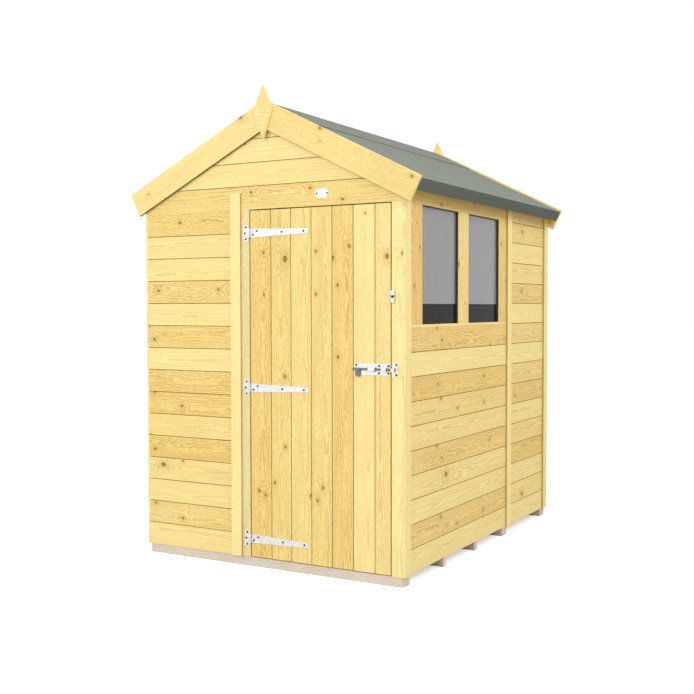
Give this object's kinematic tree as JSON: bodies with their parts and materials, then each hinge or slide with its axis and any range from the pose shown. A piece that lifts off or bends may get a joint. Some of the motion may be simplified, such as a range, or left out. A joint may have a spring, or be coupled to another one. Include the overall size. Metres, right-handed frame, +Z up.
{
  "type": "timber garden shed",
  "caption": "Small pale timber garden shed with an apex felt roof, a boarded door on tee hinges and a side wall glazed with fixed panes.",
  "frame": {"origin": "on the ground at the centre of the plan", "axes": "+Z up, +X to the right seen from the door side, +Y from the door's wall to the rear wall"},
  "size_m": [1.6344, 1.972, 2.2916],
  "materials": {
    "pale_pine": "pale yellow dip-treated softwood, planed",
    "rough_timber": "grey-beige sawn softwood",
    "mineral_felt": "grey-green mineral roofing felt",
    "clear_glazing": "clear horticultural pane",
    "zinc_steel": "bright zinc plate"
  },
  "bodies": {
    "shed": {"barge_front_left": "pale_pine", "barge_front_right": "pale_pine", "barge_rear_left": "pale_pine", "barge_rear_right": "pale_pine", "bolt_keep": "zinc_steel", "button_pivot": "zinc_steel", "cover_strip_front": "pale_pine", "cover_strips_left": "pale_pine", "cover_strips_right": "pale_pine", "door_jambs": "pale_pine", "door_stops": "pale_pine", "door_threshold": "pale_pine", "eaves_boards": "pale_pine", "finial_front": "pale_pine", "finial_rear": "pale_pine", "floor_bearers": "rough_timber", "floor_deck": "rough_timber", "front_rails": "pale_pine", "front_studs": "pale_pine", "front_wall_left": "pale_pine", "gable_front": "pale_pine", "gable_rafters": "pale_pine", "gable_rear": "pale_pine", "hinge_plates": "zinc_steel", "left_studs": "pale_pine", "left_wall_front": "pale_pine", "left_wall_rear": "pale_pine", "plaque": "zinc_steel", "rear_rails": "pale_pine", "rear_studs": "pale_pine", "rear_wall": "pale_pine", "right_studs": "pale_pine", "right_wall_lower": "pale_pine", "right_wall_rear": "pale_pine", "roof_boards_left": "pale_pine", "roof_boards_right": "pale_pine", "roof_felt_left": "mineral_felt", "roof_felt_right": "mineral_felt", "roof_purlins": "pale_pine", "roof_ridge_cap": "mineral_felt", "side_rails": "pale_pine", "window_head": "pale_pine", "window_panes": "clear_glazing", "window_posts": "pale_pine", "window_rails": "pale_pine", "window_sill": "pale_pine"},
    "door": {"door_boards": "pale_pine", "door_ledges": "pale_pine", "door_braces": "pale_pine", "hinge_straps": "zinc_steel", "bolt_base": "zinc_steel"},
    "bolt": {"bolt_rod": "zinc_steel"},
    "button": {"turn_button": "zinc_steel"}
  },
  "joints": [
    {"name": "door_hinge", "type": "hinge", "parent": "shed", "child": "door", "pos_m": [-0.096, -0.961, 0.866], "axis": [0, 0, -1], "range_deg": [0, 165]},
    {"name": "bolt_slide", "type": "slide", "parent": "door", "child": "bolt", "axis": [1, 0, 0], "range_m": [0, 0.033]},
    {"name": "button_turn", "type": "hinge", "parent": "shed", "child": "button", "pos_m": [0.674, -0.9615, 1.299], "axis": [0, 1, 0], "range_deg": [-90, 90]}
  ]
}
